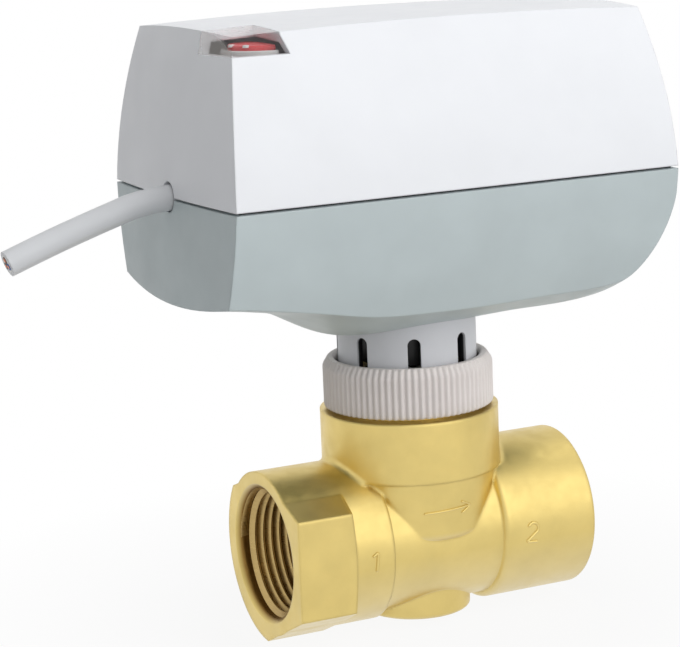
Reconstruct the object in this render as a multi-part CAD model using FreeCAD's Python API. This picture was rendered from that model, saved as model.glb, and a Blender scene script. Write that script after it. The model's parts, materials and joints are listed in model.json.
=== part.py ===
import FreeCAD, Part
import math
import os

# Two-way zone valve: a motorised actuator on a brass seat valve.
# Millimetres, +Z up the stem. The origin is the point on port 1's axis where
# its thread starts, +X runs along the pipe to port 2, and -Y is the front.
V = FreeCAD.Vector
os.makedirs("parts", exist_ok=True)

# Fits
RUN = 0.05            # radial running clearance of shafts
FIT = 0.10            # clearance between pieces that only locate each other
AIR = 0.30            # clearance between moving pieces

# Valve body
FACE_TO_FACE = 67.2
HALF_FACE = FACE_TO_FACE / 2
COUNTERSINK = 0.9
AXIS = HALF_FACE - COUNTERSINK
PIPE_R = 16.6
WAIST_R = 15.4        # body between the two sleeves
SLEEVE_EDGE = 12.5    # sleeve's shoulder, from the valve's axis
SLEEVE_ROUND = 1.3
SLEEVE_END_ROUND = 0.5
THREAD_R = 13.22      # major radius of the 3/4 inch pipe thread
THREAD_LENGTH = 16.3  # from the sleeve's end face
NECK_R = 18.13
NECK_LOW = 13.6
NECK_TOP = 26.04
NECK_FILLET = 1.2
CUP_R = 16.2          # tapered chamber wall below the neck, radius at the pipe axis
CUP_TAPER = 0.08
CUP_LOW = 1.0
CUP_ROUND = 2.0
CORE_R = 15.0         # chamber wall below the cup
CORE_LOW = -2.0
BOSS_R = 11.2
BOSS_LOW = -16.3
BOSS_ROUND = 0.8

# Wrench hexagon: three flats and two sharp corners in front, turned round behind
HEX_LENGTH = 12.6
HEX_TURNED_R = 20.6
HEX_CHAMFER = 0.95
HEX_LOW = 18.3        # pipe axis to the lower corner
HEX_TOP = 16.5        # pipe axis to the upper corner
HEX_FLAT = 17.3       # pipe axis to the front flat
HEX_FLAT_TOP = 10.4
HEX_FLAT_LOW = 9.8
HEX_REAR = (17.6, -1.0)
HEX_REAR_TOP = (14.3, 10.9)

# Seat and passages
SEAT_R = 7.5
SEAT_Z = 1.0
SEAT_LIP = 1.0
SEAT_LIP_R = 8.7
CHAMBER_R = 10.5
CHAMBER_TOP = 15.0
CHANNEL_R = 5.0
CHANNEL_SPREAD = 4.0
INLET_Z = -8.0
OUTLET_Z = 7.8

# Bonnet, stem and spring
BONNET_R = 14.4
BONNET_LOW = 16.0
SPIGOT_R = 15.0       # M30 x 1.5 thread
SPIGOT_TOP = 33.3
BONNET_RING_Z = 19.1  # O-ring in the neck
BONNET_RING_R = 0.8
STEM_RING_Z = 21.8    # O-ring round the stem
STEM_RING_R = 0.76
BONNET_TOP = 34.2
BONNET_TIP_R = 12.0
POCKET_R = 7.2
POCKET_FLOOR = 25.5
STEM_R = 2.0
STEM_TOP = 40.0
STROKE = 2.5
PLUG_R = 9.2
PLUG_GAP = 2.6        # seat lip to the open plug's seal
SEAL_T = 1.2
PLUG_T = 2.2
PLUG_NUT_R = 4.0
PLUG_NUT_T = 2.0
SPRING_R = 5.0
SPRING_WIRE = 0.9
SPRING_TURNS = 5
RETAINER_R = 6.5
RETAINER_T = 1.2

# Union nut and slotted collar
COLLAR_FLANGE_R = SPIGOT_R + 0.6
COLLAR_FLANGE_T = 1.3
COLLAR_R = COLLAR_FLANGE_R - 1.5
COLLAR_WALL = 1.7
NUT_PLAY = 0.15       # round the collar's flange
NUT_WALL = 1.48
NUT_R = COLLAR_FLANGE_R + NUT_PLAY + NUT_WALL
NUT_GROOVE = 0.42
NUT_RIBS = 80
NUT_LOW = 26.69
NUT_TOP = 36.78
NUT_LIP_R = COLLAR_R + 0.4
NUT_CHAMFER = 1.8
COLLAR_SLOTS = 8
SLOT_W = 2.6
SLOT_TOP = 42.3
SLOT_TURN = -66.0     # direction of one slot, from +X

# Housing
WALL = 2.2
PARTING = 73.4
PARTING_GAP = 0.5
HALF_W = 30.6
LEFT_X = -48.74       # corner of the cable end, from the valve's axis
RIGHT_X = 45.6
END_BULGE = 1.3
COVER_TOP = 104.4
COVER_SIDE_IN = 7.5
COVER_END_IN = 3.9
CROWN_Y = 0.9
CROWN_X = 1.1
BASE_LOW = 40.0
BASE_SIDE_IN = 12.2
BASE_END_IN = -1.1    # the cable end leans outwards
CORNER_A = 12.0       # elliptical corner below the far end: width, and height of its top
CORNER_Z = 70.7
BOSS_RING_R = COLLAR_R + 4.4
BOSS_RING_TOP = 49.3
PILLAR_R = 3.0
PILLAR_NEAR_Y = HALF_W - 13.6
PILLAR_FAR_Y = HALF_W - 13.1
PILLARS = [(-39.5, PILLAR_NEAR_Y), (-39.5, -PILLAR_NEAR_Y), (39.5, PILLAR_FAR_Y), (39.5, -PILLAR_FAR_Y)]
RIM_LAP = 1.0         # tongue below and above the parting

# Window
WINDOW_X = -34.0
WINDOW_SLANT = 1.3
WINDOW_Y = 19.6 - HALF_W
WINDOW_LOW = 100.95

# Gearing: spindle drive, rotation of the output gear for the whole stroke
MODULE = 0.6
OUTPUT_TEETH = 48
PINION_TEETH = 12
WHEEL_TEETH = 40
DIAL_TEETH = 30
SPINDLE_LEAD = 8.0
MOTOR_POS = (28.0, 0.0)
DIAL_POS = (-35.0, 16.6 - HALF_W)
PLATE_LOW = 77.0
PLATE_T = 1.5
GEAR_T = 3.0
LEVEL_SPACE = 1.5     # between plates and gear levels
LEVEL_1 = PLATE_LOW + PLATE_T + LEVEL_SPACE
LEVEL_2 = LEVEL_1 + GEAR_T + LEVEL_SPACE
TOP_PLATE = LEVEL_2 + GEAR_T + LEVEL_SPACE
TOP_PLATE_T = 1.2
HUB_R = 4.8
HUB_LOW = 62.0
SPINDLE_R = 3.2
AXLE_R = 1.5
DIAL_R = 8.6
DIAL_Z = COVER_TOP - 7.4
DIAL_T = 1.2
MOTOR_R = 16.0
MOTOR_LOW = 62.5
PLATE_HALF_Y = HALF_W - 10.1
POSTS = [(-41.0, 11.5), (-6.0, 2.5 - PLATE_HALF_Y), (33.0, -14.0), (33.0, 14.0)]
PLATE_X = (-43.0, 42.0)
TOP_PLATE_X = (-43.0, 36.0)

# Small parts
BUSH_R = 5.5
SKIRT_R = 9.5         # dark sleeve of the guide bush, seen through the collar's slots
SKIRT_CLEAR = 1.4     # round the spring retainer
SKIRT_GAP = 1.8       # above the bonnet
SCREW_R = 0.9
COLLAR_SCREW_AT = COLLAR_R + 1.75
BOARD_Z = 57.0
BOARD_T = 1.6
CAM_LOW = 67.0
CAM_T = 4.0
RELIEF_R = 3.4
RELIEF_X = (-44.5, -38.0)
FAR = 100.0           # half size of cutting blocks

# Cable
CABLE_R = 2.5
CABLE_Y = -0.7
CABLE_HOLE_R = 2.95
CABLE_Z = 73.6
CABLE_ROUTE = [(RELIEF_X[0], CABLE_Z), (-54.0, CABLE_Z), (-64.2, 70.5), (-74.5, 67.2), (-82.6, 64.25)]


def cyl(r, z0, z1, x=0.0, y=0.0):
    return Part.makeCylinder(r, z1 - z0, V(AXIS + x, y, z0))


def cone(r0, r1, z0, z1, x=0.0, y=0.0):
    return Part.makeCone(r0, r1, z1 - z0, V(AXIS + x, y, z0))


def tube(ro, ri, z0, z1, x=0.0, y=0.0):
    return cyl(ro, z0, z1, x, y).cut(cyl(ri, z0 - 1, z1 + 1, x, y))


def pipe_cyl(r, x0, x1, y=0.0, z=0.0):
    return Part.makeCylinder(r, x1 - x0, V(AXIS + x0, y, z), V(1, 0, 0))


def block(x0, x1, y0, y1, z0, z1):
    return Part.makeBox(x1 - x0, y1 - y0, z1 - z0, V(AXIS + x0, y0, z0))


def prism_x(points, x0, x1):
    ring = [V(AXIS + x0, y, z) for y, z in points]
    return Part.Face(Part.makePolygon(ring + ring[:1])).extrude(V(x1 - x0, 0, 0))


def prism_y(points, y0, y1):
    ring = [V(AXIS + x, y0, z) for x, z in points]
    return Part.Face(Part.makePolygon(ring + ring[:1])).extrude(V(0, y1 - y0, 0))


def revolve(points, x=0.0, y=0.0):
    ring = [V(AXIS + x + r, y, z) for r, z in points]
    face = Part.Face(Part.makePolygon(ring + ring[:1]))
    return face.revolve(V(AXIS + x, y, 0), V(0, 0, 1), 360)


def fuse(*shapes):
    return shapes[0].multiFuse(list(shapes[1:])).removeSplitter()


def around(shape, count, start=0.0):
    copies = []
    for i in range(count):
        copy = shape.copy()
        copy.rotate(V(AXIS, 0, 0), V(0, 0, 1), start + 360.0 * i / count)
        copies.append(copy)
    return copies


def save(name, shape):
    shape.exportStep("parts/%s.step" % name)
    print("%-20s solids %d volume %.1f valid %s" % (name, len(shape.Solids), shape.Volume, shape.isValid()))


def round_edges(shape, radius, picked):
    return shape.makeFillet(radius, [edge for edge in shape.Edges if picked(edge.BoundBox)])


def low_edge_rounded(shape, radius):
    low = shape.BoundBox.ZMin
    return round_edges(shape, radius, lambda box: box.ZMax < low + FIT)


# Valve body: sleeves, wrench hexagon, waist, tapered chamber, neck and boss
def hexagon():
    def at(y, z):
        return V(AXIS - HALF_FACE, y, z)

    top = at(0, HEX_TOP)
    low = at(0, -HEX_LOW)
    flat_top = at(-HEX_FLAT, HEX_FLAT_TOP)
    flat_low = at(-HEX_FLAT, -HEX_FLAT_LOW)
    rear_top = at(*HEX_REAR_TOP)
    outline = Part.Wire([
        Part.LineSegment(top, flat_top).toShape(),
        Part.LineSegment(flat_top, flat_low).toShape(),
        Part.LineSegment(flat_low, low).toShape(),
        Part.Arc(low, at(*HEX_REAR), rear_top).toShape(),
        Part.LineSegment(rear_top, top).toShape(),
    ])
    prism = Part.Face(outline).extrude(V(HEX_LENGTH, 0, 0))
    straight = HEX_LENGTH - HEX_CHAMFER
    chamfer = Part.makeCone(HEX_TURNED_R, PIPE_R, HEX_CHAMFER, V(AXIS - HALF_FACE + straight, 0, 0), V(1, 0, 0))
    turned = pipe_cyl(HEX_TURNED_R, -HALF_FACE, -HALF_FACE + straight).fuse(chamfer)
    return prism.common(turned)


# Neck and the two sleeves, with the casting's rounded meetings and shoulder
def neck_and_sleeves():
    cross = fuse(
        cyl(NECK_R, NECK_LOW, NECK_TOP),
        pipe_cyl(PIPE_R, -HALF_FACE, -SLEEVE_EDGE), pipe_cyl(PIPE_R, SLEEVE_EDGE, HALF_FACE),
    )
    meetings = [edge for edge in cross.Edges if edge.Curve.TypeId == "Part::GeomBSplineCurve"]
    cross = cross.makeFillet(NECK_FILLET, meetings)
    shoulder = AXIS + SLEEVE_EDGE
    cross = round_edges(cross, SLEEVE_ROUND, lambda box: (
        abs(box.XMin - shoulder) < FIT and abs(box.XMax - shoulder) < FIT and box.ZMin < FIT - PIPE_R))
    return round_edges(cross, SLEEVE_END_ROUND, lambda box: box.XMin > AXIS + HALF_FACE - FIT)


def channel(x0, x1, z):
    rounds = [pipe_cyl(CHANNEL_R, x0, x1, side * CHANNEL_SPREAD, z) for side in (-1, 1)]
    flat = block(x0, x1, -CHANNEL_SPREAD, CHANNEL_SPREAD, z - CHANNEL_R, z + CHANNEL_R)
    return rounds[0].multiFuse([rounds[1], flat])


def valve_body():
    cup = cone(CUP_R + CUP_TAPER * CUP_LOW, CUP_R + CUP_TAPER * NECK_LOW, CUP_LOW, NECK_LOW)
    body = pipe_cyl(WAIST_R, -HALF_FACE + HEX_LENGTH - 1, HALF_FACE - 1)
    body = body.multiFuse([
        hexagon(),
        neck_and_sleeves(),
        low_edge_rounded(cup, CUP_ROUND),
        cyl(CORE_R, CORE_LOW, NECK_LOW),
        low_edge_rounded(cyl(BOSS_R, BOSS_LOW, 0), BOSS_ROUND),
    ])
    mouth = THREAD_R + COUNTERSINK
    cuts = [
        pipe_cyl(THREAD_R, -HALF_FACE - 1, -HALF_FACE + THREAD_LENGTH),
        pipe_cyl(THREAD_R, HALF_FACE - THREAD_LENGTH, HALF_FACE + 1),
        Part.makeCone(mouth, THREAD_R, COUNTERSINK, V(AXIS - HALF_FACE, 0, 0), V(1, 0, 0)),
        Part.makeCone(mouth, THREAD_R, COUNTERSINK, V(AXIS + HALF_FACE, 0, 0), V(-1, 0, 0)),
        cyl(CHAMBER_R, SEAT_Z, CHAMBER_TOP + 2),
        cyl(BONNET_R + FIT, BONNET_LOW, NECK_TOP + 1),
        cyl(SEAT_R, INLET_Z - CHANNEL_R + 0.5, SEAT_Z + 1),
        channel(-HALF_FACE + THREAD_LENGTH - 2, 0, INLET_Z),
        channel(0, HALF_FACE - THREAD_LENGTH + 2, OUTLET_Z),
    ]
    body = body.cut(cuts)
    return fuse(body, tube(SEAT_LIP_R, SEAT_R, SEAT_Z, SEAT_Z + SEAT_LIP))


# Bonnet: screws into the neck, carries the stem and the M30 spigot
def valve_bonnet():
    profile = [
        (STEM_R + RUN, BONNET_LOW), (BONNET_R, BONNET_LOW), (BONNET_R, NECK_TOP), (SPIGOT_R, NECK_TOP),
        (SPIGOT_R, SPIGOT_TOP), (BONNET_TIP_R, SPIGOT_TOP), (BONNET_TIP_R, BONNET_TOP),
        (POCKET_R, BONNET_TOP), (POCKET_R, POCKET_FLOOR), (STEM_R + RUN, POCKET_FLOOR),
    ]
    outer_groove = tube(BONNET_R + 1, BONNET_R - 1.6, BONNET_RING_Z - 1.1, BONNET_RING_Z + 1.1)
    stem_groove = cyl(STEM_R + 1.6, STEM_RING_Z - 1.0, STEM_RING_Z + 1.0)
    return revolve(profile).cut([outer_groove, stem_groove])


def ring_seal(major, minor, z):
    return Part.makeTorus(major, minor, V(AXIS, 0, z))


def valve_spring():
    low = POCKET_FLOOR + SPRING_WIRE / 2 + 0.02
    high = STEM_TOP - RETAINER_T - 0.6 - SPRING_WIRE / 2 - 0.02
    helix = Part.makeHelix((high - low) / SPRING_TURNS, high - low, SPRING_R)
    helix.translate(V(AXIS, 0, low))
    start = helix.Edges[0].valueAt(helix.Edges[0].FirstParameter)
    tangent = helix.Edges[0].tangentAt(helix.Edges[0].FirstParameter)
    circle = Part.Wire(Part.Edge(Part.Circle(start, tangent, SPRING_WIRE / 2)))
    return Part.Wire(helix.Edges).makePipeShell([circle], True, True)


# Union nut: ribbed grip, thread bore, groove for the collar's flange, inner lip
def coupling_nut():
    step = 2 * math.pi / NUT_RIBS
    ring = []
    for i in range(NUT_RIBS):
        for share, r in ((-0.30, NUT_R), (0.30, NUT_R), (0.42, NUT_R - NUT_GROOVE), (0.58, NUT_R - NUT_GROOVE)):
            a = (i + share) * step
            ring.append(V(AXIS + r * math.cos(a), r * math.sin(a), NUT_LOW))
    grip = Part.Face(Part.makePolygon(ring + ring[:1])).extrude(V(0, 0, NUT_TOP - NUT_LOW))
    top_r = NUT_R - 1.1
    chamfer = revolve([
        (top_r, NUT_TOP), (NUT_R + 1, NUT_TOP + 1), (NUT_R + 1, NUT_TOP - NUT_CHAMFER),
        (NUT_R - 0.05, NUT_TOP - NUT_CHAMFER),
    ])
    flange_low = SPIGOT_TOP + RUN
    flange_top = flange_low + COLLAR_FLANGE_T
    bore = cyl(SPIGOT_R + RUN, NUT_LOW - 1, flange_low)
    groove = cyl(COLLAR_FLANGE_R + NUT_PLAY, SPIGOT_TOP - 0.2, flange_top + NUT_PLAY)
    lip = cyl(NUT_LIP_R, NUT_LOW, NUT_TOP + 1)
    edge = cone(NUT_LIP_R, NUT_LIP_R + 0.5, NUT_TOP - 0.5, NUT_TOP + 0.01)
    return grip.cut([chamfer, bore, groove, lip, edge])


def slot_cutter():
    low = SPIGOT_TOP - 1
    arch_z = SLOT_TOP - SLOT_W / 2
    straight = block(COLLAR_R - 4, COLLAR_R + 4, -SLOT_W / 2, SLOT_W / 2, low, arch_z)
    arch = Part.makeCylinder(SLOT_W / 2, 8, V(AXIS + COLLAR_R - 4, 0, arch_z), V(1, 0, 0))
    return straight.fuse(arch)


# Slotted collar: skirt, snap flange in the nut, mounting flange in the housing
def coupling_collar():
    low = SPIGOT_TOP + RUN
    seat = BOSS_RING_TOP + RUN
    inner = COLLAR_R - COLLAR_WALL
    profile = [
        (inner, low), (COLLAR_FLANGE_R, low), (COLLAR_FLANGE_R, low + COLLAR_FLANGE_T),
        (COLLAR_R, low + COLLAR_FLANGE_T), (COLLAR_R, seat), (BOSS_RING_R - 1, seat),
        (BOSS_RING_R - 1, seat + 2), (COLLAR_R, seat + 2), (COLLAR_R, seat + 4.5),
        (BUSH_R, seat + 4.5), (BUSH_R, seat + 2.5), (inner, seat + 2.5),
    ]
    collar = revolve(profile)
    return collar.cut(around(slot_cutter(), COLLAR_SLOTS, SLOT_TURN) + around(collar_screw_hole(), 4, 45))


def collar_screw_hole():
    return cyl(SCREW_R, BOSS_RING_TOP - 4, BOSS_RING_TOP + 5, COLLAR_SCREW_AT)


def collar_screws():
    top = BOSS_RING_TOP + RUN + 2
    one = cyl(SCREW_R, BOSS_RING_TOP - 4, top, COLLAR_SCREW_AT).fuse(cyl(1.6, top, top + 1.2, COLLAR_SCREW_AT))
    return Part.makeCompound(around(one.removeSplitter(), 4, 45))


# Double-D spindle that turns no further than its guide bush lets it
def double_d(r, flat, z0, z1):
    return cyl(r, z0, z1).common(block(-flat, flat, -r - 1, r + 1, z0 - 1, z1 + 1))


def plunger():
    foot = cyl(5.0, STEM_TOP + FIT, STEM_TOP + 2.1)
    shank = double_d(SPINDLE_R, 2.6, STEM_TOP + 2.1, 61.0)
    return fuse(foot, shank, cyl(SPINDLE_R, 61.0, LEVEL_2))


def guide_bush():
    low = BOSS_RING_TOP + RUN + 2.5
    skirt = tube(SKIRT_R, RETAINER_R + SKIRT_CLEAR, BONNET_TOP + SKIRT_GAP, low - 2)
    bush = fuse(cyl(BUSH_R, low, low + 2), cyl(SKIRT_R, low - 2, low), skirt)
    return bush.cut(double_d(SPINDLE_R + RUN, 2.6 + RUN, low - 3, low + 3))


# Housing form: a lofted plan outline, narrowed towards its top or bottom
def plan_wire(half_w, left, right, z):
    corners = [V(AXIS + left, -half_w, z), V(AXIS + right, -half_w, z),
               V(AXIS + right, half_w, z), V(AXIS + left, half_w, z)]
    edges = [
        Part.LineSegment(corners[0], corners[1]).toShape(),
        Part.Arc(corners[1], V(AXIS + right + END_BULGE, 0, z), corners[2]).toShape(),
        Part.LineSegment(corners[2], corners[3]).toShape(),
        Part.Arc(corners[3], V(AXIS + left - END_BULGE, 0, z), corners[0]).toShape(),
    ]
    return Part.Wire(edges)


def inset_share(t):
    return 0.28 * t + 0.72 * t * t


def cover_sides(inset):
    wires = []
    for t in (0.0, 0.34, 0.68, 1.04):
        z = PARTING + (COVER_TOP - PARTING) * t
        side = COVER_SIDE_IN * inset_share(t) + inset
        end = COVER_END_IN * inset_share(t) + inset
        wires.append(plan_wire(HALF_W - side, LEFT_X + end, RIGHT_X - end, z))
    return Part.makeLoft(wires, True, False)


def crown_wire(x, edge_z, middle_z, far_z):
    half = HALF_W + 2
    a, b = V(AXIS + x, -half, edge_z), V(AXIS + x, half, edge_z)
    return Part.Wire([
        Part.Arc(a, V(AXIS + x, 0, middle_z), b).toShape(),
        Part.LineSegment(b, V(AXIS + x, half, far_z)).toShape(),
        Part.LineSegment(V(AXIS + x, half, far_z), V(AXIS + x, -half, far_z)).toShape(),
        Part.LineSegment(V(AXIS + x, -half, far_z), a).toShape(),
    ])


def crown_block(inset):
    top_half = HALF_W - COVER_SIDE_IN
    spread = ((HALF_W + 2) / top_half) ** 2
    wires = []
    for share in (-1.15, -0.6, 0.0, 0.6, 1.15):
        x = share * (RIGHT_X - LEFT_X) / 2 + (RIGHT_X + LEFT_X) / 2
        rise = CROWN_X * (1 - share * share)
        middle = COVER_TOP + CROWN_Y + rise - inset
        wires.append(crown_wire(x, middle - CROWN_Y * spread, middle, PARTING - 5))
    return Part.makeLoft(wires, True, False)


def cover_form(inset):
    return cover_sides(inset).common(crown_block(inset))


def base_sides(inset):
    wires = []
    for t in (0.0, 0.3, 0.6, 1.0):
        z = PARTING - (PARTING - BASE_LOW) * t
        side = BASE_SIDE_IN * inset_share(t) + inset
        wires.append(plan_wire(HALF_W - side, LEFT_X + BASE_END_IN * t + inset, RIGHT_X - inset, z))
    return Part.makeLoft(wires, True, False)


# Underside stations: distance from the valve's axis, half width there, height of
# the side edge, height along the middle
UNDERSIDE = [
    (-54.0, 25.9, 55.7, 53.2), (-41.0, 25.8, 54.2, 51.5), (-31.0, 25.0, 52.4, 48.9), (-20.0, 24.05, 50.3, 43.65),
    (-8.0, 23.6, 49.4, 42.75), (8.0, 23.6, 49.35, 43.3), (20.0, 23.8, 49.8, 43.8), (32.0, 24.1, 50.45, 44.45),
]
SECTION_YS = (-33.0, -22.0, -11.0, 0.0, 11.0, 22.0, 33.0)
CORNER_OVER = 0.08    # the corner's curve ends just outside the end face
CORNER_STEPS = 6


# One lengthwise section: underside, elliptical corner, closed above the parting
def underside_wire(y, inset):
    points = []
    for x, half, edge, keel in UNDERSIDE:
        points.append(V(AXIS + x, y, keel + (edge - keel) * (y / half) ** 2 + inset))
    low = points.pop().z
    middle_x = RIGHT_X - CORNER_A + END_BULGE * (1 - (y / HALF_W) ** 2)
    a = CORNER_A + CORNER_OVER - inset
    for i in range(CORNER_STEPS + 1):
        turn = math.pi / 2 * i / CORNER_STEPS
        points.append(V(AXIS + middle_x + a * math.sin(turn), y, CORNER_Z - (CORNER_Z - low) * math.cos(turn)))
    curve = Part.BSplineCurve()
    curve.interpolate(points)
    top = PARTING + 10
    far_top = V(points[-1].x, y, top)
    near_top = V(points[0].x, y, top)
    return Part.Wire([
        curve.toShape(),
        Part.LineSegment(points[-1], far_top).toShape(),
        Part.LineSegment(far_top, near_top).toShape(),
        Part.LineSegment(near_top, points[0]).toShape(),
    ])


def underside_block(inset):
    return Part.makeLoft([underside_wire(y, inset) for y in SECTION_YS], True, False)


def base_form(inset):
    return base_sides(inset).common(underside_block(inset))


def slab(z0, z1):
    return block(-FAR, FAR, -FAR, FAR, z0, z1)


def lower_housing():
    outer = base_form(0)
    rim = PARTING - PARTING_GAP / 2
    shell = outer.cut(base_form(WALL))
    shell = shell.common(slab(BASE_LOW - 5, rim))
    tongue = base_sides(WALL * 0.5).cut(base_sides(WALL)).common(slab(rim - RIM_LAP, PARTING))
    tongue_top = cover_sides(WALL * 0.5).cut(cover_sides(WALL)).common(slab(PARTING, PARTING + RIM_LAP))
    solids = [tongue, tongue_top]
    solids.append(cyl(BOSS_RING_R, BASE_LOW, BOSS_RING_TOP).common(outer))
    for x, y in PILLARS:
        solids.append(cyl(PILLAR_R, BASE_LOW, rim - 1, x, y).common(outer))
        solids.append(cyl(PILLAR_R, rim - 1.5, PLATE_LOW, x, y))
    for x in (-34.0, -21.0):
        for y in (-12.0, 12.0):
            solids.append(cyl(2.0, BASE_LOW, BOARD_Z, x, y).common(outer))
    saddle = block(-45.0, -37.5, CABLE_Y - 4, CABLE_Y + 4, BASE_LOW, CABLE_Z - CABLE_R - 1.0)
    solids.append(saddle.common(outer))
    shell = shell.multiFuse(solids)
    cuts = [cyl(COLLAR_R + FIT, BASE_LOW - 1, BOSS_RING_TOP + 1)]
    cuts += around(collar_screw_hole(), 4, 45)
    cuts.append(pipe_cyl(CABLE_HOLE_R, LEFT_X - 5, -46.0, CABLE_Y, CABLE_Z))
    cuts += [cyl(SCREW_R, PLATE_LOW - 8, PLATE_LOW + 1, x, y) for x, y in PILLARS]
    return shell.cut(cuts).removeSplitter()


def window_wedge(gap):
    points = [
        (LEFT_X - 10, WINDOW_LOW + gap), (WINDOW_X - gap, WINDOW_LOW + gap),
        (WINDOW_X - WINDOW_SLANT - gap, COVER_TOP), (WINDOW_X - WINDOW_SLANT - gap, COVER_TOP + 10),
        (LEFT_X - 10, COVER_TOP + 10),
    ]
    return prism_y(points, -HALF_W - 5, WINDOW_Y - gap)


def cover_shell():
    shell = cover_form(0).cut(cover_form(WALL))
    return shell


def upper_cover(shell):
    low = PARTING + PARTING_GAP / 2
    rebate = cover_sides(WALL * 0.5 - FIT).common(slab(PARTING - 5, PARTING + RIM_LAP + 2 * FIT))
    cover = shell.cut([
        slab(PARTING - 10, low), rebate, window_wedge(0),
        pipe_cyl(CABLE_HOLE_R, LEFT_X - 5, -46.0, CABLE_Y, CABLE_Z),
    ])
    return cover.removeSplitter()


# Gears with straight-flanked teeth
def gear(teeth, z0, z1, bore, x=0.0, y=0.0, phase=0.0):
    pitch_r = MODULE * teeth / 2
    step = 2 * math.pi / teeth
    half = 0.205 * math.pi * MODULE
    slope = math.tan(math.radians(20))
    corners = []
    for height, side in ((-1.2, -1), (0.95, -1), (0.95, 1), (-1.2, 1)):
        width = half - height * MODULE * slope
        r = pitch_r + height * MODULE
        corners.append((r, side * width / r))
    ring = []
    for i in range(teeth):
        for r, turn in corners:
            a = phase + i * step + turn
            ring.append(V(AXIS + x + r * math.cos(a), y + r * math.sin(a), z0))
    blank = Part.Face(Part.makePolygon(ring + ring[:1])).extrude(V(0, 0, z1 - z0))
    return blank.cut(cyl(bore, z0 - 1, z1 + 1, x, y)) if bore else blank


def mesh_phase(teeth_a, pos_a, phase_a, teeth_b, pos_b):
    line = math.atan2(pos_b[1] - pos_a[1], pos_b[0] - pos_a[0])
    step_a = 2 * math.pi / teeth_a
    offset = (line - phase_a) % step_a
    return line + math.pi + offset * teeth_a / teeth_b + math.pi / teeth_b


def meet(pos_a, reach_a, pos_b, reach_b, side):
    dx, dy = pos_b[0] - pos_a[0], pos_b[1] - pos_a[1]
    d = math.hypot(dx, dy)
    along = (reach_a ** 2 - reach_b ** 2 + d * d) / (2 * d)
    off = side * math.sqrt(reach_a ** 2 - along ** 2)
    return (pos_a[0] + along * dx / d - off * dy / d, pos_a[1] + along * dy / d + off * dx / d)


def reach(teeth_a, teeth_b):
    return MODULE * (teeth_a + teeth_b) / 2


CENTRE = (0.0, 0.0)
WHEEL_POS = meet(CENTRE, reach(OUTPUT_TEETH, PINION_TEETH), MOTOR_POS, reach(PINION_TEETH, WHEEL_TEETH), 1)
IDLER_POS = meet(CENTRE, reach(OUTPUT_TEETH, DIAL_TEETH), DIAL_POS, reach(DIAL_TEETH, DIAL_TEETH), -1)
SMALL_PHASE = mesh_phase(OUTPUT_TEETH, CENTRE, 0.0, PINION_TEETH, WHEEL_POS)
MOTOR_PHASE = mesh_phase(WHEEL_TEETH, WHEEL_POS, 0.0, PINION_TEETH, MOTOR_POS)
IDLER_PHASE = mesh_phase(OUTPUT_TEETH, CENTRE, 0.0, DIAL_TEETH, IDLER_POS)
DIAL_PHASE = mesh_phase(DIAL_TEETH, IDLER_POS, IDLER_PHASE, DIAL_TEETH, DIAL_POS)


def output_gear():
    hub = tube(HUB_R, SPINDLE_R + RUN, HUB_LOW, TOP_PLATE - AIR)
    journal = tube(HUB_R - 0.6, SPINDLE_R + RUN, TOP_PLATE - AIR, TOP_PLATE + TOP_PLATE_T)
    return fuse(gear(OUTPUT_TEETH, LEVEL_2, LEVEL_2 + GEAR_T, HUB_R - 0.5), hub, journal)


def switch_cam():
    disc = tube(HUB_R + 1.7, HUB_R, CAM_LOW, CAM_LOW + CAM_T)
    lobe = tube(HUB_R + 3.3, HUB_R, CAM_LOW, CAM_LOW + CAM_T).common(block(0, FAR, -4, 4, 0, FAR))
    return fuse(disc, lobe)


def compound_gear():
    x, y = WHEEL_POS
    bore = AXLE_R + RUN
    wheel = gear(WHEEL_TEETH, LEVEL_1, LEVEL_1 + GEAR_T, bore, x, y)
    small = gear(PINION_TEETH, LEVEL_1 + GEAR_T, LEVEL_2 + GEAR_T, bore, x, y, SMALL_PHASE)
    return fuse(wheel, small, tube(2.6, bore, PLATE_LOW + PLATE_T + AIR, LEVEL_1, x, y))


def idler_gear():
    x, y = IDLER_POS
    bore = AXLE_R + RUN
    hub = tube(3.0, bore, PLATE_LOW + PLATE_T + AIR, TOP_PLATE - AIR, x, y)
    return fuse(gear(DIAL_TEETH, LEVEL_2, LEVEL_2 + GEAR_T, bore, x, y, IDLER_PHASE), hub)


def dial_gear():
    x, y = DIAL_POS
    shaft = cyl(AXLE_R, PLATE_LOW - 0.5, DIAL_Z, x, y)
    hub = cyl(3.0, PLATE_LOW + PLATE_T + AIR, TOP_PLATE - AIR, x, y)
    return fuse(gear(DIAL_TEETH, LEVEL_2, LEVEL_2 + GEAR_T, 0, x, y, DIAL_PHASE), hub, shaft)


def half_dial(x0, x1):
    x, y = DIAL_POS
    return cyl(DIAL_R, DIAL_Z, DIAL_Z + DIAL_T, x, y).common(block(x0, x1, -FAR, FAR, 0, 2 * FAR))


def axle(pos):
    x, y = pos
    return cyl(AXLE_R, PLATE_LOW, TOP_PLATE + TOP_PLATE_T, x, y)


def motor_case():
    x, y = MOTOR_POS
    can = cyl(MOTOR_R, MOTOR_LOW, PLATE_LOW, x, y)
    can = can.fuse(cyl(MOTOR_R + 0.6, PLATE_LOW - 7.0, PLATE_LOW - 5.6, x, y)).removeSplitter()
    return can.cut(cyl(AXLE_R + RUN, PLATE_LOW - 7, PLATE_LOW + 1, x, y))


def motor_shaft():
    x, y = MOTOR_POS
    return cyl(AXLE_R, PLATE_LOW - 6.8, LEVEL_1 + GEAR_T + 0.4, x, y)


def motor_pinion():
    x, y = MOTOR_POS
    return gear(PINION_TEETH, LEVEL_1, LEVEL_1 + GEAR_T, AXLE_R, x, y, MOTOR_PHASE)


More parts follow.
